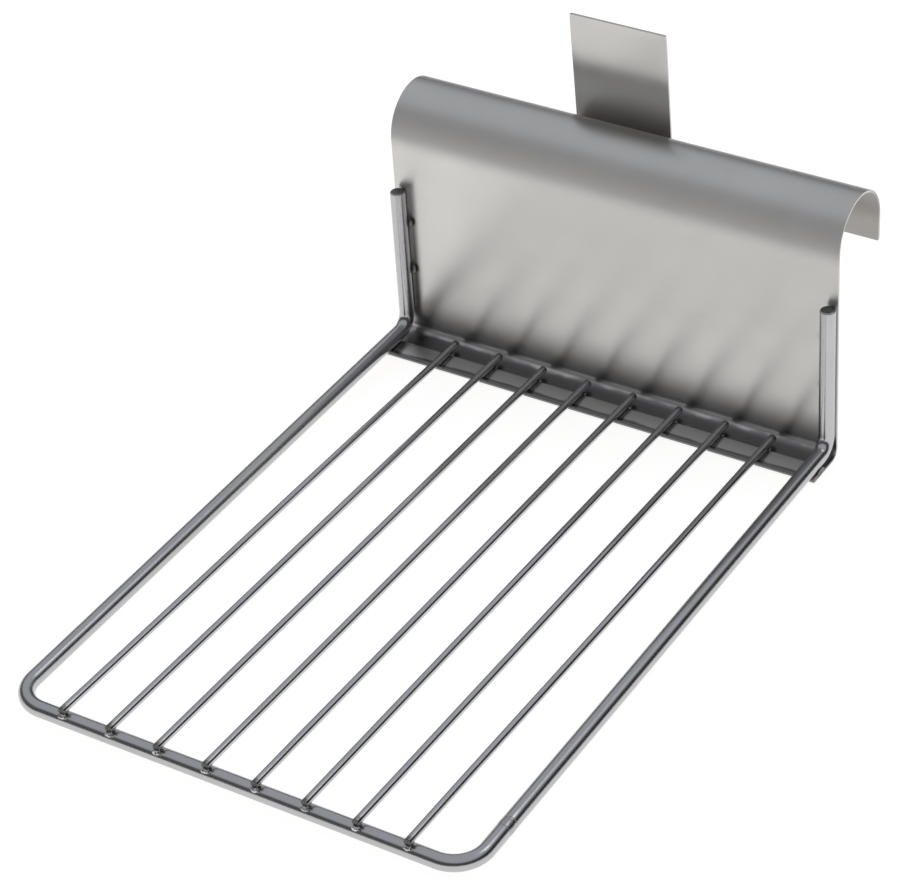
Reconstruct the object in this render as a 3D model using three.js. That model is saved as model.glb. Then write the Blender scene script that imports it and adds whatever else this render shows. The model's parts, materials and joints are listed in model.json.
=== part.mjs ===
// Hook-on drying rack: a bent sheet hook plate with a lift tab behind it, a bent round-rod frame
// welded to its front, and eight thin wires laid across the frame. Millimetres, +Z up.
// X runs along the plate, Y from the rack (negative) to the hook (positive).
// The design is drawn from the corner where the frame meets the plate: Y = 0 is the plate's front
// face and Z = 0 the middle of the frame's rods. The finished group is then moved so that its
// origin is the middle of the hook's inner crest, the line the rack hangs by.
import * as THREE from 'three';

// ---- Driving dimensions ----------------------------------------------------------------------
const GAP = 0.3;                  // clearance kept between neighbouring pieces

const SHEET = 1;                  // sheet thickness of the plate and the tab
const PLATE_WIDTH = 191;
const PLATE_CENTRE_X = -0.4;
const HOOK_RADIUS = 17.2;         // outer radius of the rolled hook
const HOOK_CENTRE_Z = 82.8;
const FLANGE_LENGTH = 11.5;       // straight end of the hook, below its roll
const LIP_REACH = 19.2;           // how far the bottom lip stands forward of the plate
const LIP_BEND = 3.5;             // inner radius of the bend between plate and lip
const HEM_WIDTH = 8.9;            // strip folded back on top of the lip's front edge

const TAB_WIDTH = 41;
const TAB_CENTRE_X = -12.2;
const TAB_BOTTOM_Z = 73;
const TAB_TOP_Z = 136.9;
const TAB_LEAN = THREE.MathUtils.degToRad(3);

const ROD = 3;                    // frame rod radius
const FRAME_HALF = 92.5;          // rod centre to the middle plane
const FRAME_REACH = 262;          // plate face to the front rod's centre
const LEG_TOP_Z = 62;
const LEG_BEND = 6.5;             // centreline radius where a leg turns into a side
const CORNER_BEND = 12;           // centreline radius of the front corners
const BUTT_Y = -238;              // where the frame's two rods are joined
const BUTT_LENGTH = 3;
const BUTT_PROUD = 0.1;

const WIRE = 1.5;                 // wire radius
const WIRE_COUNT = 8;
const WIRE_PITCH = 20;
const GRID_CENTRE_X = 0.8;
const WIRE_REAR_Y = -4.5;
const WIRE_FRONT_PAST = 1.9;      // how far a wire runs past the front rod's centre

const TACK_HEIGHTS = [25.5, 47];
const ROUND_STEPS = 8;            // half the number of sides on a round section
const BEND_STEPS = 6;             // straight steps in each rod bend

// ---- Places worked out from them -------------------------------------------------------------
const LEG_Y = -ROD - GAP;
const HEM_TOP_Z = -ROD - GAP;
const HEM_BOTTOM_Z = HEM_TOP_Z - SHEET;
const LIP_TOP_Z = HEM_BOTTOM_Z - GAP;
const LIP_BOTTOM_Z = LIP_TOP_Z - SHEET;
const HEM_REAR_Y = HEM_WIDTH - LIP_REACH;

// ---- Materials -------------------------------------------------------------------------------
function steel(color, roughness) {
  return new THREE.MeshStandardMaterial({ color, roughness, metalness: 1 });
}

const finishes = {
  sheet: () => steel(0xc8c4be, 0.42),
  rod: () => steel(0x9a9ea3, 0.3),
  wire: () => steel(0x85888d, 0.32),
  weld: () => steel(0x4b4a4c, 0.6),
};

// ---- Small helpers ---------------------------------------------------------------------------
const rack = new THREE.Group();

function add(name, geometry, finish) {
  const mesh = new THREE.Mesh(geometry, finish());
  mesh.name = name;
  rack.add(mesh);
  return mesh;
}

// A profile drawn in (Y, Z) and extruded along X, centred on centreX.
function extrudeAcross(profile, width, centreX, curveSegments) {
  const geometry = new THREE.ExtrudeGeometry(profile, {
    depth: width,
    bevelEnabled: false,
    curveSegments,
  });
  const profileAxes = new THREE.Matrix4().makeBasis(
    new THREE.Vector3(0, 1, 0),
    new THREE.Vector3(0, 0, 1),
    new THREE.Vector3(1, 0, 0),
  );
  geometry.applyMatrix4(profileAxes);
  geometry.translate(centreX - width / 2, 0, 0);
  return geometry;
}

// A path through given stations, sampled exactly at them so that each bend keeps its shape.
class StationPath extends THREE.Curve {
  constructor(stations) {
    super();
    this.stations = stations;
  }

  get steps() {
    return this.stations.length - 1;
  }

  getUtoTmapping(u) {
    return u;
  }

  getPoint(t, target = new THREE.Vector3()) {
    const place = THREE.MathUtils.clamp(t, 0, 1) * this.steps;
    const index = Math.min(Math.floor(place), this.steps - 1);
    return target.lerpVectors(this.stations[index], this.stations[index + 1], place - index);
  }
}

// Stations round a 90 degree bend at a corner, entering along `into` and leaving along `out`.
function bend(corner, into, out, radius) {
  const stations = [];
  const centre = corner.clone().addScaledVector(into, -radius).addScaledVector(out, radius);
  for (let i = 0; i <= BEND_STEPS; i += 1) {
    const angle = (i / BEND_STEPS) * (Math.PI / 2);
    const station = centre.clone();
    station.addScaledVector(out, -radius * Math.cos(angle));
    station.addScaledVector(into, radius * Math.sin(angle));
    stations.push(station);
  }
  return stations;
}

function bentRod(stations, radius) {
  const section = new THREE.Shape();
  section.absarc(0, 0, radius, 0, Math.PI * 2);
  const path = new StationPath(stations);
  return new THREE.ExtrudeGeometry(section, {
    steps: path.steps,
    curveSegments: ROUND_STEPS,
    extrudePath: path,
  });
}

function straightRod(start, end, radius) {
  const along = new THREE.Vector3().subVectors(end, start);
  const geometry = new THREE.CylinderGeometry(radius, radius, along.length(), ROUND_STEPS * 2);
  const turn = new THREE.Quaternion();
  turn.setFromUnitVectors(new THREE.Vector3(0, 1, 0), along.clone().normalize());
  geometry.applyQuaternion(turn);
  const middle = new THREE.Vector3().addVectors(start, end).multiplyScalar(0.5);
  geometry.translate(middle.x, middle.y, middle.z);
  return geometry;
}

function addNugget(name, centre, radii) {
  const nugget = add(name, new THREE.SphereGeometry(1, 12, 8), finishes.weld);
  nugget.position.set(...centre);
  nugget.scale.set(...radii);
}

// ---- Hook plate: one sheet, from the hook's flange over the roll, down, and out to the hem ------
function buildHookPlate() {
  const hookY = HOOK_RADIUS;
  const flangeEndZ = HOOK_CENTRE_Z - FLANGE_LENGTH;
  const bendY = -LIP_BEND;
  const bendZ = LIP_TOP_Z + LIP_BEND;
  const slit = GAP / 2;
  const foldZ = LIP_TOP_Z + slit;
  const foldRadius = slit + SHEET;
  const foldY = foldRadius - LIP_REACH;
  const quarter = Math.PI / 2;

  const profile = new THREE.Shape();
  profile.moveTo(2 * HOOK_RADIUS, flangeEndZ);
  profile.lineTo(2 * HOOK_RADIUS, HOOK_CENTRE_Z);
  profile.absarc(hookY, HOOK_CENTRE_Z, HOOK_RADIUS, 0, Math.PI, false);
  profile.lineTo(0, bendZ);
  profile.absarc(bendY, bendZ, LIP_BEND, 0, -quarter, true);
  profile.lineTo(foldY, LIP_TOP_Z);
  profile.absarc(foldY, foldZ, slit, -quarter, quarter, true);
  profile.lineTo(HEM_REAR_Y, HEM_BOTTOM_Z);
  profile.lineTo(HEM_REAR_Y, HEM_TOP_Z);
  profile.lineTo(foldY, HEM_TOP_Z);
  profile.absarc(foldY, foldZ, foldRadius, quarter, 3 * quarter, false);
  profile.lineTo(bendY, LIP_BOTTOM_Z);
  profile.absarc(bendY, bendZ, LIP_BEND + SHEET, -quarter, 0, false);
  profile.lineTo(SHEET, HOOK_CENTRE_Z);
  profile.absarc(hookY, HOOK_CENTRE_Z, HOOK_RADIUS - SHEET, Math.PI, 0, true);
  profile.lineTo(2 * HOOK_RADIUS - SHEET, flangeEndZ);
  profile.closePath();

  add('hook_plate', extrudeAcross(profile, PLATE_WIDTH, PLATE_CENTRE_X, 12), finishes.sheet);
}

// ---- Lift tab: a strip on the back of the hook's flange, set slightly forward above it ----------
function buildLiftTab() {
  const frontY = 2 * HOOK_RADIUS + GAP;
  const rise = TAB_TOP_Z - HOOK_CENTRE_Z;
  const topY = frontY - rise * Math.tan(TAB_LEAN);

  const profile = new THREE.Shape();
  profile.moveTo(frontY, TAB_BOTTOM_Z);
  profile.lineTo(frontY, HOOK_CENTRE_Z);
  profile.lineTo(topY, TAB_TOP_Z);
  profile.lineTo(topY + SHEET, TAB_TOP_Z);
  profile.lineTo(frontY + SHEET, HOOK_CENTRE_Z);
  profile.lineTo(frontY + SHEET, TAB_BOTTOM_Z);
  profile.closePath();
  add('lift_tab', extrudeAcross(profile, TAB_WIDTH, TAB_CENTRE_X, 1), finishes.sheet);

  const weldY = frontY + 0.7;
  const weldZ = (TAB_BOTTOM_Z + HOOK_CENTRE_Z) / 2;
  const weldOffset = TAB_WIDTH / 2 + GAP + 1;
  for (const [side, sign] of [['left', -1], ['right', 1]]) {
    addNugget(`tab_weld_${side}`, [TAB_CENTRE_X + sign * weldOffset, weldY, weldZ], [0.9, 0.6, 3.5]);
  }
}

// ---- Frame: two bent rods, butt welded on the right-hand side -------------------------------------
function buildFrame() {
  const down = new THREE.Vector3(0, 0, -1);
  const up = new THREE.Vector3(0, 0, 1);
  const forward = new THREE.Vector3(0, -1, 0);
  const back = new THREE.Vector3(0, 1, 0);
  const right = new THREE.Vector3(1, 0, 0);
  const half = FRAME_HALF;
  const buttFront = BUTT_Y - BUTT_LENGTH / 2;
  const buttRear = BUTT_Y + BUTT_LENGTH / 2;

  const longRod = [
    new THREE.Vector3(-half, LEG_Y, LEG_TOP_Z),
    ...bend(new THREE.Vector3(-half, LEG_Y, 0), down, forward, LEG_BEND),
    ...bend(new THREE.Vector3(-half, -FRAME_REACH, 0), forward, right, CORNER_BEND),
    ...bend(new THREE.Vector3(half, -FRAME_REACH, 0), right, back, CORNER_BEND),
    new THREE.Vector3(half, buttFront - GAP, 0),
  ];
  const shortRod = [
    new THREE.Vector3(half, buttRear + GAP, 0),
    ...bend(new THREE.Vector3(half, LEG_Y, 0), back, up, LEG_BEND),
    new THREE.Vector3(half, LEG_Y, LEG_TOP_Z),
  ];
  add('frame_rod_long', bentRod(longRod, ROD), finishes.rod);
  add('frame_rod_short', bentRod(shortRod, ROD), finishes.rod);

  const buttStart = new THREE.Vector3(half, buttFront, 0);
  const buttEnd = new THREE.Vector3(half, buttRear, 0);
  add('frame_butt_weld', straightRod(buttStart, buttEnd, ROD + BUTT_PROUD), finishes.rod);

  for (const [side, sign] of [['left', -1], ['right', 1]]) {
    TACK_HEIGHTS.forEach((height, index) => {
      const centre = [sign * (half - ROD - 0.9), -1.1, height];
      addNugget(`leg_tack_${side}_${index + 1}`, centre, [1.3, 0.8, 2.2]);
    });
    addNugget(`lip_weld_${side}`, [sign * (half + 2.8), -14, -2.5], [0.5, 2, 0.45]);
  }
}

// ---- Wires: each lies on the front rod and slopes down to the hem of the lip -----------------------
function buildWires() {
  const rearHeight = HEM_TOP_Z + GAP + WIRE;
  const frontHeight = ROD + GAP + WIRE;
  const slope = (frontHeight - rearHeight) / (-FRAME_REACH - HEM_REAR_Y);
  const heightAt = (y) => rearHeight + slope * (y - HEM_REAR_Y);
  const frontEnd = -FRAME_REACH - WIRE_FRONT_PAST;
  const frontWeldY = frontEnd - GAP - 0.75;
  const rearWeldY = HEM_REAR_Y + GAP + 0.8;

  for (let i = 0; i < WIRE_COUNT; i += 1) {
    const x = GRID_CENTRE_X + (i - (WIRE_COUNT - 1) / 2) * WIRE_PITCH;
    const start = new THREE.Vector3(x, WIRE_REAR_Y, heightAt(WIRE_REAR_Y));
    const end = new THREE.Vector3(x, frontEnd, heightAt(frontEnd));
    add(`wire_${i + 1}`, straightRod(start, end, WIRE), finishes.wire);
    addNugget(`front_weld_${i + 1}`, [x, frontWeldY, 3], [1.2, 0.75, 0.85]);
    addNugget(`rear_weld_${i + 1}`, [x + 0.9, rearWeldY, -3.8], [1.6, 0.8, 0.48]);
  }
}

buildHookPlate();
buildLiftTab();
buildFrame();
buildWires();

// The rack hangs by the hook's inner crest, so that line's middle is the origin.
rack.position.set(0, -HOOK_RADIUS, -(HOOK_CENTRE_Z + HOOK_RADIUS - SHEET));

export default rack;
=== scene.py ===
import json
import math
import random

import bmesh
import bpy
import numpy as np
from mathutils import Matrix, Vector, noise


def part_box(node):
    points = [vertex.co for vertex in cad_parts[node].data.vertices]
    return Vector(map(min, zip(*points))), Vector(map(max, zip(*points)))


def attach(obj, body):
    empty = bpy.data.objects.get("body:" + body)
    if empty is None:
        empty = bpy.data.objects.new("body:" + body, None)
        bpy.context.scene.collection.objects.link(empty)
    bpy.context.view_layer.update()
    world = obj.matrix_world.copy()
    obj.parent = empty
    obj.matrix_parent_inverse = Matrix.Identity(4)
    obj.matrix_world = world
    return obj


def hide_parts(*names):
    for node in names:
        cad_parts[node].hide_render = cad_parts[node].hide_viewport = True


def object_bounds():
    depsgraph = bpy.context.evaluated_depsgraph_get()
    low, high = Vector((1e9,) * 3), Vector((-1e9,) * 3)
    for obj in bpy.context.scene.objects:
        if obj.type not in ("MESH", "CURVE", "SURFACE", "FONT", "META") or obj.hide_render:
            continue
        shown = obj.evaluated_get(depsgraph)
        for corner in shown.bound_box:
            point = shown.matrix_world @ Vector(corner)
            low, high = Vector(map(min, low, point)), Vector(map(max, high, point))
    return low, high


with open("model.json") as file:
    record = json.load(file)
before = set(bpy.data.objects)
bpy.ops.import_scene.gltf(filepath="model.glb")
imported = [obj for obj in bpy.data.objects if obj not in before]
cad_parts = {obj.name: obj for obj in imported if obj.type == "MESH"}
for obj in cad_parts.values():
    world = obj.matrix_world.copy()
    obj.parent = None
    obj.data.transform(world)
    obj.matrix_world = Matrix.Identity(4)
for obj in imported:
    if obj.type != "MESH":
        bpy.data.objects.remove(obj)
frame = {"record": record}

CAD_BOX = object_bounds()
MM = 0.001
SEED = 5
noise.seed_set(SEED)              # noise_vector is seeded by the clock otherwise

# ---- Sizes that the CAD boxes and mounts don't give ----------------------------------------------
FLANGE_LENGTH = 11.5 * MM
LIP_BEND = 3.5 * MM               # inner radius of the bend between plate and lip
HEM_WIDTH = 8.9 * MM
HEM_SLIT = 0.3 * MM
HEM_DROP = 0.27 * MM              # the pressed hem is crowned and lowest at its fold
HEM_SLOPE = 5                     # degrees, the crowned hem's slope at its fold
HEM_CROWN = 0.32                  # where the crown sits between the free edge and the fold
LEG_BEND = 6.5 * MM               # radii of the rods' bends, on the centreline
CORNER_BEND = 12 * MM
TAB_STRAIGHT = 9.8 * MM           # height of the tab's upright foot, below its lean
TAB_TOP_GAP = 0.03 * MM           # keeps the leaning tab's top corner inside the CAD box
EDGE = 0.14 * MM                  # deburred edge of the sheet
PLATE_CORNER = 0.7 * MM           # rounded corners at the flange's end
TAB_CORNER = 0.5 * MM             # rounded corners at the tab's top
SHEET_BOW = 0.12 * MM             # waviness of the sheet, the rods and the wires
ROD_WAVE = 0.12 * MM
WIRE_WAVE = 0.1 * MM
WAVE_EASE = 30 * MM               # a bar's waviness fades out over this length at its ends
CUT_EDGE = 0.4 * MM               # deburred edge of a rod's sawn end
WIRE_EDGE = 0.12 * MM             # edge of a wire's sheared end
WIRE_SKEW = 0.12                  # most slant of a sheared end, as a slope
WIRES = 8
ROD_SIDES = 48
WIRE_SIDES = 28
ROD_STEP = 6 * MM                 # length of the steps along a rod
WIRE_STEPS = 26

# ---- Places read from the CAD --------------------------------------------------------------------
mounts = {m["name"]: Vector(m["pos_m"]) for m in frame["record"]["mounts"]}
plate_lo, plate_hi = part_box("hook_plate")
SHEET = plate_hi.y - mounts["flange_inner"].y
PLATE_Y = mounts["plate_back"].y - SHEET
HOOK_R = (plate_hi.y - PLATE_Y) / 2
HOOK_Z = plate_hi.z - HOOK_R
rod_lo, rod_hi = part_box("frame_rod_short")
ROD = (rod_hi.x - rod_lo.x) / 2
FRAME_HALF = (rod_hi.x + rod_lo.x) / 2
LEG_Y = rod_hi.y - ROD
LEG_TOP = rod_hi.z
FRAME_Z = rod_lo.z + ROD
FRONT_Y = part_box("frame_rod_long")[0].y + ROD
butt_lo, butt_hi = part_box("frame_butt_weld")


def middle_of(node):
    return sum(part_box(node), Vector()) / 2


# ---- Mesh helpers --------------------------------------------------------------------------------
def new_piece(name, verts, faces, materials, replaces, attributes=None, face_slots=None):
    """A piece from its points and faces, smooth, riding on the one body in place of its CAD nodes.
    attributes are vectors on its points, and face_slots gives each face's material."""
    mesh = bpy.data.meshes.new(name)
    mesh.from_pydata([tuple(v) for v in verts], [], faces)
    mesh.validate()
    for m in materials:
        mesh.materials.append(m)
    for polygon in mesh.polygons:
        polygon.use_smooth = True
    if face_slots:
        for polygon, index in zip(mesh.polygons, face_slots):
            polygon.material_index = index
    for key, values in (attributes or {}).items():
        data = mesh.attributes.new(key, "FLOAT_VECTOR", "POINT")
        data.data.foreach_set("vector", np.asarray(values, np.float32).ravel())
    piece = bpy.data.objects.new(name, mesh)
    bpy.context.scene.collection.objects.link(piece)
    weighted = piece.modifiers.new("even_normals", "WEIGHTED_NORMAL")
    weighted.weight = 100
    weighted.keep_sharp = True
    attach(piece, "root")
    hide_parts(*replaces)
    return piece


def arc(centre, radius, start, end, steps):
    """Points (y, z) on an arc, both ends included, angles in degrees from +y towards +z."""
    return [
        (
            centre[0] + radius * math.cos(math.radians(start + (end - start) * i / steps)),
            centre[1] + radius * math.sin(math.radians(start + (end - start) * i / steps)),
        )
        for i in range(steps + 1)
    ]


def between(a, b, steps):
    """Points after a up to and with b, evenly spaced."""
    return [tuple(np.add(a, np.subtract(b, a) * (i + 1) / steps)) for i in range(steps)]


def sheet_piece(name, centreline, x_lo, x_hi, columns, material, node, corner, bow=None):
    """A bent sheet: its centreline in (y, z), given thickness, spread along x, with deburred edges.
    corner rounds the two corners at the centreline's start, and bow moves points along y."""
    line = np.array(centreline, float)
    # A short first and last stretch carry the deburred edge.
    for end, beside in ((0, 1), (-1, -2)):
        step = line[beside] - line[end]
        at = line[end] + step / np.linalg.norm(step) * EDGE
        line = np.insert(line, 1 if end == 0 else len(line) - 1, at, axis=0)
    tangent = np.gradient(line, axis=0)
    tangent /= np.linalg.norm(tangent, axis=1)[:, None]
    normal = np.stack([-tangent[:, 1], tangent[:, 0]], axis=1)
    run = np.concatenate([[0], np.cumsum(np.linalg.norm(np.diff(line, axis=0), axis=1))])
    half = np.full(len(line), SHEET / 2)
    half[[0, -1]] -= EDGE
    verts, grain = [], []
    rows = len(line)
    for side in (1, -1):
        for j in range(rows):
            inset = 0.0
            if run[j] < corner:
                inset = corner - math.sqrt(max(corner**2 - (corner - run[j]) ** 2, 0.0))
            lo, hi = x_lo + inset, x_hi - inset
            inner = np.linspace(lo + EDGE, hi - EDGE, columns + 1)
            xs = [lo, *inner, hi]
            for k, x in enumerate(xs):
                thick = half[j] - (EDGE if k in (0, len(xs) - 1) else 0.0)
                y, z = line[j] + normal[j] * side * thick
                if bow:
                    y += bow(x, z)
                verts.append((x, y, z))
                grain.append((x, run[j], side * 0.01))
    cols = len(xs)
    faces = []
    back = rows * cols
    for j in range(rows - 1):
        for k in range(cols - 1):
            a = j * cols + k
            faces.append((a, a + 1, a + cols + 1, a + cols))
            faces.append((back + a, back + a + cols, back + a + cols + 1, back + a + 1))
        for k, flip in ((0, True), (cols - 1, False)):
            a = j * cols + k
            rim = (a, back + a, back + a + cols, a + cols)
            faces.append(rim[::-1] if flip else rim)
    for j, flip in ((0, False), (rows - 1, True)):
        for k in range(cols - 1):
            a = j * cols + k
            rim = (a, back + a, back + a + 1, a + 1)
            faces.append(rim[::-1] if flip else rim)
    return new_piece(name, verts, faces, [material], [node], {"grain": grain})


def straight_run(points, end):
    """Adds evenly spaced points from the last one up to and with end."""
    start = points[-1]
    run = end - start
    count = max(1, int(run.length / ROD_STEP))
    points += [start + run * (k + 1) / count for k in range(count)]


def fillet_path(corners, radii, arc_steps=14):
    """Points along straight runs joined by round bends. radii has one entry per inner corner."""
    points = [Vector(corners[0])]
    for i, radius in enumerate(radii):
        corner = Vector(corners[i + 1])
        into = (corner - Vector(corners[i])).normalized()
        out = (Vector(corners[i + 2]) - corner).normalized()
        start = corner - into * radius
        centre = start + out * radius
        straight_run(points, start)
        for k in range(1, arc_steps + 1):
            a = math.pi / 2 * k / arc_steps
            points.append(centre - out * radius * math.cos(a) + into * radius * math.sin(a))
    straight_run(points, Vector(corners[-1]))
    return points


def bar_piece(name, points, radius, materials, node, sides, edge, wave, seed, skew=(0, 0)):
    """A round bar along points, with deburred flat ends. Material 0 is its side and 1 its ends.
    skew slants its two ends, and wave is the size of its waviness."""
    count = len(points)
    tangents = []
    for i in range(count):
        a, b = points[max(i - 1, 0)], points[min(i + 1, count - 1)]
        tangents.append((b - a).normalized())
    run = [0.0]
    for a, b in zip(points, points[1:]):
        run.append(run[-1] + (b - a).length)
    total = run[-1]
    side_axis = tangents[0].orthogonal().normalized()
    rings = []

    def ring(place, tangent, axis, r, along, lean=0.0):
        """One ring of points, each with its place in the section and along the bar."""
        other = tangent.cross(axis)
        out = []
        for s in range(sides):
            a = 2 * math.pi * s / sides
            offset = axis * math.cos(a) + other * math.sin(a)
            shift = tangent * (lean * r * math.cos(a))
            local = (r * math.cos(a), r * math.sin(a), along)
            out.append((place + offset * r + shift, local))
        rings.append(out)

    for i, (place, tangent) in enumerate(zip(points, tangents)):
        if i:
            turn = tangents[i - 1].rotation_difference(tangent)
            side_axis = (turn @ side_axis).normalized()
        ease = min(run[i], total - run[i], WAVE_EASE) / WAVE_EASE
        sway = noise.noise_vector(Vector((seed * 7.3, run[i] * 9, 0)))
        sway -= tangent * sway.dot(tangent)
        place = place + sway * wave * ease
        if i == 0:
            for r in (0.0, radius * 0.5, radius - edge):
                ring(place, tangent, side_axis, r, 0.0, skew[0])
            ring(place + tangent * edge, tangent, side_axis, radius, edge, skew[0])
        elif i == count - 1:
            ring(place - tangent * edge, tangent, side_axis, radius, total - edge, skew[1])
            for r in (radius - edge, radius * 0.5, 0.0):
                ring(place, tangent, side_axis, r, total, skew[1])
        else:
            ring(place, tangent, side_axis, radius, run[i])
    verts, around, reach, index = [], [], [], []
    for r, items in enumerate(rings):
        if r in (0, len(rings) - 1):
            index.append([len(verts)] * sides)
            items = items[:1]
        else:
            index.append(list(range(len(verts), len(verts) + sides)))
        for place, local in items:
            verts.append(place)
            around.append(local)
            reach.append((min(local[2], total - local[2]), 0.0, 0.0))
    faces, slots = [], []
    for r in range(len(rings) - 1):
        end_face = r < 2 or r > len(rings) - 4
        for s in range(sides):
            t = (s + 1) % sides
            loop = [index[r][s], index[r][t], index[r + 1][t], index[r + 1][s]]
            loop = [v for k, v in enumerate(loop) if v not in loop[:k]]
            faces.append(tuple(loop))
            slots.append(1 if end_face else 0)
    attributes = {"grain": around, "reach": reach}
    return new_piece(name, verts, faces, materials, [node], attributes, slots)


def bead_piece(node, centre, radii, seed, rough, material):
    """A small bead of weld metal: a rippled ellipsoid."""
    bm = bmesh.new()
    bmesh.ops.create_icosphere(bm, subdivisions=4, radius=1.0)
    verts = []
    for v in bm.verts:
        d = v.co.normalized()
        lump = noise.noise(d * 1.3 + Vector((seed * 3.1, seed * 1.7, 0)))
        ripple = noise.noise(d * 4.0 + Vector((0, seed * 2.3, seed)))
        grow = 1 + rough * lump + rough * 0.35 * ripple
        local = Vector((d.x * radii[0], d.y * radii[1], d.z * radii[2])) * grow
        verts.append(centre + local)
    faces = [tuple(v.index for v in f.verts) for f in bm.faces]
    bm.free()
    return new_piece(f"{node}_bead", verts, faces, [material], [node])


# ---- Materials -----------------------------------------------------------------------------------
class Shader:
    """A metal surface, whose nodes are added one by one."""

    def __init__(self, name):
        self.material = bpy.data.materials.new(name)
        self.material.use_nodes = True
        self.tree = self.material.node_tree
        self.bsdf = self.tree.nodes["Principled BSDF"]
        self.bsdf.inputs["Metallic"].default_value = 1.0
        self.bump = None

    def node(self, kind):
        return self.tree.nodes.new(kind)

    def feed(self, socket, value):
        """Links a socket to a value that varies, or sets it to one that doesn't."""
        if isinstance(value, bpy.types.NodeSocket):
            self.tree.links.new(value, socket)
        else:
            socket.default_value = value

    def attribute(self, name):
        made = self.node("ShaderNodeAttribute")
        made.attribute_type = "GEOMETRY"
        made.attribute_name = name
        return made.outputs["Vector"]

    def place(self):
        return self.node("ShaderNodeTexCoord").outputs["Object"]

    def scaled(self, vector, scale):
        made = self.node("ShaderNodeVectorMath")
        made.operation = "MULTIPLY"
        self.feed(made.inputs[0], vector)
        made.inputs[1].default_value = scale
        return made.outputs["Vector"]

    def part(self, vector, axis):
        made = self.node("ShaderNodeSeparateXYZ")
        self.feed(made.inputs[0], vector)
        return made.outputs[axis]

    def noise(self, vector, scale=1.0, detail=2.0, roughness=0.5):
        made = self.node("ShaderNodeTexNoise")
        self.feed(made.inputs["Vector"], vector)
        made.inputs["Scale"].default_value = scale
        made.inputs["Detail"].default_value = detail
        made.inputs["Roughness"].default_value = roughness
        return made.outputs["Fac"]

    def range(self, value, from_lo, from_hi, to_lo, to_hi, smooth=False):
        made = self.node("ShaderNodeMapRange")
        made.interpolation_type = "SMOOTHSTEP" if smooth else "LINEAR"
        self.feed(made.inputs["Value"], value)
        made.inputs["From Min"].default_value = from_lo
        made.inputs["From Max"].default_value = from_hi
        made.inputs["To Min"].default_value = to_lo
        made.inputs["To Max"].default_value = to_hi
        return made.outputs["Result"]

    def math(self, operation, a, b):
        made = self.node("ShaderNodeMath")
        made.operation = operation
        self.feed(made.inputs[0], a)
        self.feed(made.inputs[1], b)
        return made.outputs["Value"]

    def spread(self, value, lo, hi):
        """The middle of a noise's range, 0.3 to 0.7, stretched over lo to hi."""
        return self.range(value, 0.3, 0.7, lo, hi)

    def mix(self, factor, a, b):
        made = self.node("ShaderNodeMix")
        made.data_type = "RGBA"
        self.feed(made.inputs["Factor"], factor)
        self.feed(made.inputs[6], (*a, 1) if isinstance(a, tuple) else a)
        self.feed(made.inputs[7], (*b, 1) if isinstance(b, tuple) else b)
        return made.outputs[2]

    def near(self, centre, inner, outer):
        """1 within inner of centre, falling to 0 at outer."""
        made = self.node("ShaderNodeVectorMath")
        made.operation = "DISTANCE"
        self.feed(made.inputs[0], self.place())
        made.inputs[1].default_value = centre
        return self.range(made.outputs["Value"], inner, outer, 1.0, 0.0, smooth=True)

    def brushed(self, amount):
        """Stretches the reflections across the sheet's grain, which runs along x."""
        along = self.node("ShaderNodeCombineXYZ")
        along.inputs["X"].default_value = 1.0
        self.feed(self.bsdf.inputs["Tangent"], along.outputs[0])
        self.bsdf.inputs["Anisotropic"].default_value = amount
        self.bsdf.inputs["Anisotropic Rotation"].default_value = 0.25

    def color(self, value):
        self.feed(self.bsdf.inputs["Base Color"], value)

    def roughness(self, value):
        self.feed(self.bsdf.inputs["Roughness"], value)

    def bumped(self, height, distance, strength=1.0):
        """Adds relief on top of any that is there."""
        made = self.node("ShaderNodeBump")
        made.inputs["Strength"].default_value = strength
        made.inputs["Distance"].default_value = distance
        self.feed(made.inputs["Height"], height)
        if self.bump is not None:
            self.feed(made.inputs["Normal"], self.bump)
        self.bump = made.outputs["Normal"]
        self.feed(self.bsdf.inputs["Normal"], self.bump)


# Colours next to a weld, and the painted shade in the lip's trough and along the hem's fold
HEAT_STRAW = (0.36, 0.33, 0.29)
HEAT_DARK = (0.13, 0.13, 0.14)
PAINTED_SHADE = (0.125, 0.125, 0.13)
PAINTED_SHADE_SHARE = 0.85                    # how much the painted shade covers the sheet's colour
TROUGH_Z = plate_lo.z + 1.3 * MM  # the painted shade in the trough ends above this height, and at the hem's free edge
HEM_EDGE_Y = plate_lo.y + HEM_WIDTH
FOLD_DARK = (1.5 * MM, 2.7 * MM)  # the painted shade along the hem's fold ends between these depths
BEND_DULLING = 0.38               # how much rougher the bent hook is, for a brushing of 1
BEND_START = (HOOK_Z - 5 * MM, HOOK_Z + 4 * MM)
CREST_START = (HOOK_Z + 9 * MM, HOOK_Z + 16 * MM)
CREST_SHARE = 0.9                 # how much of the dulling the crest, rubbed by hands, has lost

# Noise scales per metre: small along the grain and large across it
SHEET_GRAIN = (60, 5200, 5200)
SHEET_SCRATCHES = (16, 1500, 900)
SHEET_WAVES = (14, 14, 20)
BAR_LINES = (5200, 5200, 55)
BAR_STREAKS = (900, 900, 18)
RING_LINES = (300, 300, 4200)
TOOL_MARKS = (900, 5200, 900)

# Depths of the relief
SHEET_RELIEF = 0.0006 * MM
WAVE_RELIEF = 0.5 * MM
LINE_RELIEF = 0.001 * MM
MARK_RELIEF = 0.03 * MM
CUT_BLOTCH_RELIEF = 0.06 * MM
WELD_BLOTCH_RELIEF = 0.12 * MM


def toned(color, share):
    """A colour made darker or lighter."""
    return tuple(c * share for c in color)


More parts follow.
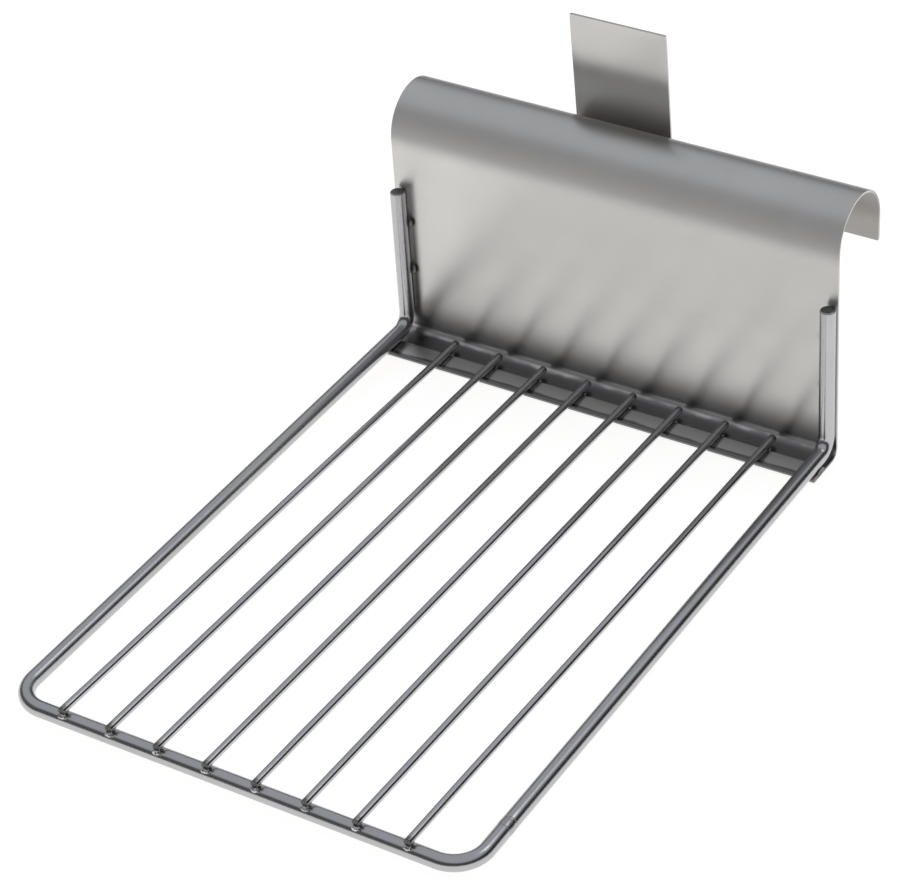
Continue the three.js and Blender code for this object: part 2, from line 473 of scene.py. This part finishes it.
def sheet_shader(name, color, roughness, brushing, tint_spots):
    """Satin sheet: rolled grain along x, dull where it is bent, with painted shade in the lip's
    trough and along the hem's fold. tint_spots lists the welds' places, with their tint's reach and
    strength."""
    s = Shader(name)
    height, depth = s.part(s.place(), "Z"), s.part(s.place(), "Y")
    grain = s.attribute("grain")
    fine = s.noise(s.scaled(grain, SHEET_GRAIN), detail=3, roughness=0.6)
    cloud = s.noise(s.place(), scale=26, detail=4, roughness=0.55)
    smudge = s.noise(s.place(), scale=90, detail=2)
    scratch = s.noise(s.scaled(grain, SHEET_SCRATCHES), detail=1)
    base = s.mix(s.spread(cloud, 0.0, 1.0), toned(color, 0.94), color)

    ragged = s.spread(smudge, -0.5 * MM, 0.5 * MM)
    # Painted shade: the lip's trough, between the bend and the hem's free edge, is darkened in the
    # base colour.
    low = s.range(s.math("ADD", height, ragged), TROUGH_Z, TROUGH_Z + 1.2 * MM, 1.0, 0.0, True)
    behind_hem = s.range(depth, HEM_EDGE_Y - 0.2 * MM, HEM_EDGE_Y, 0.0, 1.0)
    trough = s.math("MULTIPLY", low, behind_hem)
    base = s.mix(s.math("MULTIPLY", trough, PAINTED_SHADE_SHARE), base, PAINTED_SHADE)
    # Painted shade: the hem's fold is darkened in the base colour.
    fold_from, fold_to = (plate_lo.y + reach for reach in FOLD_DARK)
    fold = s.range(s.math("ADD", depth, ragged), fold_from, fold_to, 1.0, 0.0, True)
    base = s.mix(s.math("MULTIPLY", fold, PAINTED_SHADE_SHARE), base, PAINTED_SHADE)

    line = s.range(scratch, 0.70, 0.74, 0.0, 1.0)
    base = s.mix(s.math("MULTIPLY", line, 0.25), base, toned(color, 0.8))
    for spot, reach, strength in tint_spots:
        # Heat tint round each weld. The lip welds' long, strong tint is also painted shade on the
        # lip's ends beside the rods.
        heat_tint_and_shade = s.near(spot, 0.6 * MM, reach)
        base = s.mix(s.math("MULTIPLY", heat_tint_and_shade, strength), base, HEAT_STRAW)
        heat_dark_and_shade = s.near(spot, 0.4 * MM, reach * 0.6)
        base = s.mix(s.math("MULTIPLY", heat_dark_and_shade, strength), base, HEAT_DARK)
    s.color(base)

    # Every roughness on a sheet stays on one side of 0.274, where the renderer's denoiser switches
    # from what a surface reflects to the surface itself, and would draw the border.
    rough = s.range(smudge, 0.25, 0.75, roughness, roughness + 0.03)
    rough = s.math("ADD", rough, s.spread(fine, 0.0, 0.008))
    bent = s.range(height, *BEND_START, 0.0, BEND_DULLING, True)
    crest = s.range(height, *CREST_START, 0.0, CREST_SHARE * BEND_DULLING, True)
    bent = s.math("SUBTRACT", bent, crest)
    s.roughness(s.math("ADD", rough, s.math("MULTIPLY", bent, brushing)))
    s.brushed(brushing)
    s.bumped(fine, SHEET_RELIEF)
    s.bumped(s.noise(s.scaled(s.place(), SHEET_WAVES), detail=1), WAVE_RELIEF, 0.35)
    return s.material


def bar_shader(name, color, roughness, drawn=1.0, end_heat=0.0, cross=False):
    """Drawn rod or wire, with lines along it, or round it where cross is set. drawn is the lines'
    depth, and end_heat is how far the welds' tint reaches from the bar's ends."""
    s = Shader(name)
    grain = s.attribute("grain")
    lines = s.noise(s.scaled(grain, RING_LINES if cross else BAR_LINES), detail=3, roughness=0.65)
    streaks = s.noise(s.scaled(grain, BAR_STREAKS), detail=2)
    patch = s.noise(s.place(), scale=60, detail=3, roughness=0.6)
    base = s.mix(patch, toned(color, 0.92), toned(color, 1.05))
    base = s.mix(s.range(streaks, 0.55, 0.75, 0.0, 0.3), base, toned(color, 0.8))
    if end_heat:
        reach = s.part(s.attribute("reach"), "X")
        wobble = s.spread(s.noise(s.place(), scale=700, detail=2), -0.8 * MM, 0.8 * MM)
        edge = s.math("ADD", reach, wobble)
        straw = s.range(edge, end_heat * 0.55, end_heat * 1.25, 0.5, 0.0, True)
        base = s.mix(straw, base, HEAT_STRAW)
        dark = s.range(edge, end_heat * 0.1, end_heat * 0.75, 0.85, 0.0, True)
        base = s.mix(dark, base, HEAT_DARK)
    s.color(base)
    rough = s.spread(patch, roughness - 0.015, roughness + 0.02)
    s.roughness(s.math("ADD", rough, s.spread(lines, -0.01, 0.01)))
    s.bumped(lines, LINE_RELIEF * drawn)
    return s.material


def cut_shader(name, color, roughness):
    """A sawn or sheared end: parallel tool marks and a dull, uneven face."""
    s = Shader(name)
    marks = s.noise(s.scaled(s.place(), TOOL_MARKS), detail=3, roughness=0.7)
    blotch = s.noise(s.place(), scale=900, detail=3)
    s.color(s.mix(blotch, toned(color, 0.6), color))
    s.roughness(s.spread(marks, roughness - 0.08, roughness + 0.1))
    s.bumped(marks, MARK_RELIEF)
    s.bumped(blotch, CUT_BLOTCH_RELIEF)
    return s.material


def weld_shader(name, color, tint, roughness):
    """Weld metal as it froze: blotches of tint and small dark flecks of scale."""
    s = Shader(name)
    blotch = s.noise(s.place(), scale=800, detail=4, roughness=0.65)
    flecks = s.noise(s.place(), scale=2600, detail=3)
    base = s.mix(s.range(blotch, 0.4, 0.62, 0.0, 1.0, True), color, tint)
    s.color(s.mix(s.range(flecks, 0.58, 0.7, 0.0, 0.6), base, HEAT_DARK))
    s.roughness(s.spread(blotch, roughness - 0.05, roughness + 0.05))
    s.bumped(flecks, MARK_RELIEF)
    s.bumped(blotch, WELD_BLOTCH_RELIEF)
    return s.material


# The welds that tint the sheets, by their nodes' names
WELD_NODES = (
    "leg_tack_left_1", "leg_tack_left_2", "leg_tack_right_1", "leg_tack_right_2",
    "lip_weld_left", "lip_weld_right", "tab_weld_left", "tab_weld_right",
)
weld_spots = {node: middle_of(node) for node in WELD_NODES}
# How far each kind's tint reaches on the plate, and how strong it is
# lip: heat tint at the lip's welds, whose long reach and strength also paint shade on the lip's
# ends beside the rods.
# tab: its tint reaches far on the plate and darkens a line on the crest beside the tab's foot.
PLATE_TINTS = {"leg": (3 * MM, 0.6), "lip": (9 * MM, 0.9), "tab": (12 * MM, 0.6)}
TAB_TINT = (4 * MM, 0.6)

tab_lo, tab_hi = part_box("lift_tab")
plate_tints = [(spot, *PLATE_TINTS[node[:3]]) for node, spot in weld_spots.items()]
tab_tints = [(weld_spots[f"tab_weld_{side}"], *TAB_TINT) for side in ("left", "right")]
SHEET_STEEL = sheet_shader("satin_sheet", (0.65, 0.635, 0.615), 0.278, 0.72, plate_tints)
TAB_STEEL = sheet_shader("satin_tab", (0.595, 0.58, 0.56), 0.2, 0.1, tab_tints)
ROD_STEEL = bar_shader("drawn_rod", (0.50, 0.50, 0.51), 0.225)
ROD_CUT = cut_shader("sawn_rod_end", (0.26, 0.26, 0.26), 0.42)
WIRE_STEEL = bar_shader("drawn_wire", (0.55, 0.55, 0.565), 0.15, drawn=0.5, end_heat=3.0 * MM)
WIRE_CUT = cut_shader("sheared_wire_end", (0.17, 0.165, 0.16), 0.5)
BUTT_STEEL = bar_shader("ground_weld", (0.45, 0.445, 0.44), 0.235, drawn=3.0, cross=True)
WELD_STEEL = weld_shader("weld_bead", (0.30, 0.29, 0.285), (0.15, 0.145, 0.15), 0.38)
WELD_BRIGHT = weld_shader("weld_bead_clean", (0.66, 0.65, 0.64), (0.42, 0.41, 0.4), 0.21)


# ---- Hook plate ----------------------------------------------------------------------------------
def sheet_bow(x, z):
    """The plate's slight waviness, along y."""
    return SHEET_BOW * noise.noise(Vector((x * 14, 3.7, z * 18)))


lip_z = plate_lo.z + SHEET / 2
hem_z = lip_z + SHEET + HEM_SLIT
fold_r = (hem_z - lip_z) / 2
mid_y = PLATE_Y + SHEET / 2
bend_r = LIP_BEND + SHEET / 2
fold_y = plate_lo.y + SHEET / 2 + fold_r
hook_r = HOOK_R - SHEET / 2
rear_y = plate_hi.y - SHEET / 2
path = [(rear_y, HOOK_Z - FLANGE_LENGTH)]
path += between(path[-1], (rear_y, HOOK_Z), 6)
path += arc((PLATE_Y + HOOK_R, HOOK_Z), hook_r, 0, 180, 64)[1:]
path += between(path[-1], (mid_y, lip_z + bend_r), 30)
path += arc((mid_y - bend_r, lip_z + bend_r), bend_r, 0, -90, 18)[1:]
path += between(path[-1], (fold_y, lip_z), 8)
turn_r = fold_r - HEM_DROP / 2
path += arc((fold_y, lip_z + turn_r), turn_r, -90, -270 + HEM_SLOPE, 20)[1:]
hem_start = path[-1][0]
hem_run = HEM_EDGE_Y - hem_start
crown_y = HEM_CROWN * hem_start + (1 - HEM_CROWN) * HEM_EDGE_Y
HEM_STEPS = 14
for k in range(1, HEM_STEPS + 1):
    y = hem_start + hem_run * k / HEM_STEPS
    off = (y - crown_y) / hem_run / (1 - HEM_CROWN)
    path.append((y, hem_z - HEM_DROP * off**2))
sheet_piece("hook_plate_sheet", path, plate_lo.x, plate_hi.x, 64, SHEET_STEEL,
            "hook_plate", PLATE_CORNER, sheet_bow)

# ---- Lift tab ------------------------------------------------------------------------------------
tab_foot_y = tab_hi.y - SHEET / 2
tab_top_y = tab_lo.y + SHEET / 2
tab_path = [(tab_top_y, tab_hi.z - TAB_TOP_GAP)]
tab_path += between(tab_path[-1], (tab_foot_y, tab_lo.z + TAB_STRAIGHT), 18)
tab_path += between(tab_path[-1], (tab_foot_y, tab_lo.z), 4)
sheet_piece("lift_tab_sheet", tab_path, tab_lo.x, tab_hi.x, 14, TAB_STEEL,
            "lift_tab", TAB_CORNER)

# ---- Frame rods ----------------------------------------------------------------------------------
long_corners = [
    (-FRAME_HALF, LEG_Y, LEG_TOP),
    (-FRAME_HALF, LEG_Y, FRAME_Z),
    (-FRAME_HALF, FRONT_Y, FRAME_Z),
    (FRAME_HALF, FRONT_Y, FRAME_Z),
    (FRAME_HALF, butt_lo.y, FRAME_Z),
]
short_corners = [
    (FRAME_HALF, butt_hi.y, FRAME_Z),
    (FRAME_HALF, LEG_Y, FRAME_Z),
    (FRAME_HALF, LEG_Y, LEG_TOP),
]
rods = {
    "frame_rod_long": fillet_path(long_corners, [LEG_BEND, CORNER_BEND, CORNER_BEND]),
    "frame_rod_short": fillet_path(short_corners, [LEG_BEND]),
}
for seed, (node, points) in enumerate(rods.items(), 1):
    bar_piece(f"{node}_bar", points, ROD, [ROD_STEEL, ROD_CUT], node,
              ROD_SIDES, CUT_EDGE, ROD_WAVE, seed)

# ---- Ground weld ---------------------------------------------------------------------------------
BUTT_OVERLAP = 0.9 * MM           # how far the ground band runs onto the rods at each side
BUTT_LIFT = 0.005 * MM            # keeps the band's ends just outside the rods
BUTT_CROWN = 0.06 * MM
BUTT_UNEVEN = 0.03 * MM
UNDERCUT = 0.045 * MM
UNDERCUTS = (0.16, 0.84)          # their places along the band, and their width, as shares of it
UNDERCUT_WIDTH = 0.045


def butt_piece(rings=22):
    """The ground weld: a band slightly proud of the rod, with a shallow undercut at each side."""
    start = butt_lo.y - BUTT_OVERLAP
    length = butt_hi.y - butt_lo.y + 2 * BUTT_OVERLAP
    sides = ROD_SIDES
    verts, around, faces = [], [], []
    for r in range(rings + 1):
        t = r / rings
        y = start + length * t
        fade = math.sin(math.pi * t)
        cut = sum(math.exp(-(((t - at) / UNDERCUT_WIDTH) ** 2)) for at in UNDERCUTS)
        for s in range(sides):
            a = 2 * math.pi * s / sides
            uneven = noise.noise(Vector((math.cos(a) * 2, math.sin(a) * 2, t * 5)))
            proud = BUTT_LIFT + (BUTT_CROWN + BUTT_UNEVEN * uneven) * fade - UNDERCUT * cut
            across, up = (ROD + proud) * math.cos(a), (ROD + proud) * math.sin(a)
            verts.append((FRAME_HALF + across, y, FRAME_Z + up))
            around.append((across, up, y))
    for r in range(rings):
        for s in range(sides):
            t = (s + 1) % sides
            faces.append((r * sides + s, (r + 1) * sides + s, (r + 1) * sides + t, r * sides + t))
    first_ring = tuple(range(sides))
    last_ring = tuple(range(rings * sides, (rings + 1) * sides))
    faces += [first_ring, last_ring[::-1]]
    new_piece("frame_butt_weld_band", verts, faces, [BUTT_STEEL],
              ["frame_butt_weld"], {"grain": around})


butt_piece()

# ---- Wires and their welds -----------------------------------------------------------------------
# A bead's half sizes, and how far its middle is from its box's middle
FRONT_BEAD = (1.5 * MM, 1.15 * MM, 0.95 * MM)
FRONT_BEAD_SHIFT = Vector((0.1 * MM, 0.75 * MM, 0.0))
REAR_BEAD = (1.5 * MM, 1.1 * MM, 0.6 * MM)
REAR_BEAD_SHIFT = Vector((-0.6 * MM, -0.1 * MM, 0.0))

random.seed(SEED)
for i in range(1, WIRES + 1):
    lo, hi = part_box(f"wire_{i}")
    radius = (hi.x - lo.x) / 2
    x = (hi.x + lo.x) / 2
    rear = Vector((x, hi.y, lo.z + radius))
    front = Vector((x, lo.y, hi.z - radius))
    points = [rear.lerp(front, k / WIRE_STEPS) for k in range(WIRE_STEPS + 1)]
    skew = (random.uniform(-WIRE_SKEW, WIRE_SKEW), random.uniform(-WIRE_SKEW, WIRE_SKEW))
    bar_piece(f"wire_{i}_bar", points, radius, [WIRE_STEEL, WIRE_CUT], f"wire_{i}",
              WIRE_SIDES, WIRE_EDGE, WIRE_WAVE, 10 + i, skew)
    node = f"front_weld_{i}"
    bead_piece(node, middle_of(node) + FRONT_BEAD_SHIFT, FRONT_BEAD, 20 + i, 0.22, WELD_BRIGHT)
    node = f"rear_weld_{i}"
    bead_piece(node, middle_of(node) + REAR_BEAD_SHIFT, REAR_BEAD, 40 + i, 0.18, WELD_STEEL)

# ---- Frame, lip and tab welds --------------------------------------------------------------------
BEADS = {
    "leg": (0.85 * MM, 0.65 * MM, 1.9 * MM),
    "lip": (0.45 * MM, 2.1 * MM, 0.7 * MM),
    "tab": (1.1 * MM, 0.55 * MM, 3.6 * MM),
}
LEG_BEAD_SHIFT = 0.45 * MM        # outwards, into the corner between leg and plate
for seed, (node, centre) in enumerate(weld_spots.items(), 60):
    if node.startswith("leg"):
        centre = centre + Vector((math.copysign(LEG_BEAD_SHIFT, centre.x), 0, 0))
    bead_piece(node, centre, BEADS[node[:3]], seed, 0.2, WELD_STEEL)

# ---- Stage: floor, light and camera --------------------------------------------------------------
FLOOR_SIZE = 40
FLOOR_DROP = 0.1 * MM             # below the rack's lowest point
SKY = (0.535, 0.555, 0.59)

bpy.ops.mesh.primitive_plane_add(size=FLOOR_SIZE, location=(0, 0, CAD_BOX[0][2] - FLOOR_DROP))
floor = bpy.context.object
floor.name = "floor"
floor_material = bpy.data.materials.new("pale_floor")
floor_material.use_nodes = True
floor_bsdf = floor_material.node_tree.nodes["Principled BSDF"]
floor_bsdf.inputs["Base Color"].default_value = (0.42, 0.42, 0.42, 1)
floor_bsdf.inputs["Roughness"].default_value = 0.9
floor_bsdf.inputs["Specular IOR Level"].default_value = 0.2
floor_bsdf.inputs["Emission Color"].default_value = (1, 0.985, 0.97, 1)
floor_bsdf.inputs["Emission Strength"].default_value = 0.82
floor.data.materials.append(floor_material)

world = bpy.data.worlds.new("studio")
bpy.context.scene.world = world
world.use_nodes = True
world_nodes = world.node_tree.nodes
world_nodes.clear()
sky_output = world_nodes.new("ShaderNodeOutputWorld")
sky_light = world_nodes.new("ShaderNodeBackground")
sky_light.inputs["Color"].default_value = (*SKY, 1)
world.node_tree.links.new(sky_light.outputs[0], sky_output.inputs["Surface"])

WALL_RADIUS = 1.5
WALL_CENTRE = -0.12
WALL_HEIGHT = 1.7
# Each side of the surround: its direction (x, y), the height where its dark part ends, the height
# where the sky begins, and the dark part's level
WALL_SIDES = [
    (-0.5, -0.87, 1.00, 1.52, 0.11),
    (0.72, 0.69, 1.04, 1.48, 0.015),
    (-0.87, 0.5, 0.30, 0.90, 0.12),
    (0.87, -0.5, 0.68, 1.20, 0.06),
    (0.0, 1.0, 0.32, 0.92, 0.08),
]


def studio_wall():
    """A dark surround with a soft upper edge, seen only by the metal's reflections."""
    columns, rows = 96, 30
    verts, glow, faces = [], [], []
    for c in range(columns):
        turn = 2 * math.pi * c / columns
        x, y = math.sin(turn), math.cos(turn)
        share = [max(x * side[0] + y * side[1], 0.0) ** 2 for side in WALL_SIDES]
        low, high, dark = (
            sum(k * side[item] for k, side in zip(share, WALL_SIDES)) / sum(share)
            for item in (2, 3, 4)
        )
        for r in range(rows + 1):
            z = WALL_HEIGHT * r / rows
            verts.append((WALL_RADIUS * x, WALL_CENTRE + WALL_RADIUS * y, CAD_BOX[0][2] + z))
            t = min(max((z - low) / (high - low), 0.0), 1.0)
            t = t * t * (3 - 2 * t)
            glow.append([dark + (sky - dark) * t for sky in SKY] + [1.0])
    for c in range(columns):
        d = (c + 1) % columns
        for r in range(rows):
            a, b = c * (rows + 1) + r, d * (rows + 1) + r
            faces.append((a, b, b + 1, a + 1))
    mesh = bpy.data.meshes.new("studio_wall")
    mesh.from_pydata(verts, [], faces)
    layer = mesh.attributes.new("glow", "FLOAT_COLOR", "POINT")
    layer.data.foreach_set("color", np.asarray(glow, np.float32).ravel())
    material = bpy.data.materials.new("studio_wall")
    material.use_nodes = True
    tree = material.node_tree
    tree.nodes.clear()
    output = tree.nodes.new("ShaderNodeOutputMaterial")
    emission = tree.nodes.new("ShaderNodeEmission")
    source = tree.nodes.new("ShaderNodeAttribute")
    source.attribute_name = "glow"
    tree.links.new(source.outputs["Color"], emission.inputs["Color"])
    tree.links.new(emission.outputs[0], output.inputs["Surface"])
    mesh.materials.append(material)
    wall = bpy.data.objects.new("studio_wall", mesh)
    bpy.context.scene.collection.objects.link(wall)
    wall.visible_camera = False
    wall.visible_diffuse = False
    wall.visible_shadow = False


studio_wall()

# A soft light from behind and above, aimed at the rack's middle
LAMP_TARGET = Vector((0, -0.12, -0.09))
LAMP_PLACE = LAMP_TARGET + Vector((0.319, 0.429, 0.842)) * 1.6
lamp_data = bpy.data.lights.new("back_light", "AREA")
lamp_data.shape = "RECTANGLE"
lamp_data.size = 0.5
lamp_data.size_y = 0.4
lamp_data.energy = 0.9
lamp = bpy.data.objects.new("back_light", lamp_data)
bpy.context.scene.collection.objects.link(lamp)
lamp.location = LAMP_PLACE
lamp.rotation_euler = (LAMP_TARGET - LAMP_PLACE).to_track_quat("-Z", "Y").to_euler()

# The camera's place and directions, from the fit to the photo's perspective
CAMERA_PLACE = Vector((0.5328, -0.9272, 0.6397))
CAMERA_RIGHT = Vector((0.85147, 0.52114, -0.05839))
CAMERA_FORWARD = Vector((-0.45161, 0.67213, -0.58676))
camera_data = bpy.data.cameras.new("camera")
camera = bpy.data.objects.new("camera", camera_data)
bpy.context.scene.collection.objects.link(camera)
forward = CAMERA_FORWARD.normalized()
up = CAMERA_RIGHT.cross(forward).normalized()
right = forward.cross(up)
turn = Matrix((right, up, -forward)).transposed().to_4x4()
camera.matrix_world = Matrix.Translation(CAMERA_PLACE) @ turn
camera_data.sensor_width = 36
camera_data.lens = 132.85
camera_data.clip_start = 0.05
camera_data.clip_end = 30
bpy.context.scene.camera = camera
bpy.context.scene.view_settings.view_transform = "Standard"
bpy.context.scene.view_settings.look = "None"
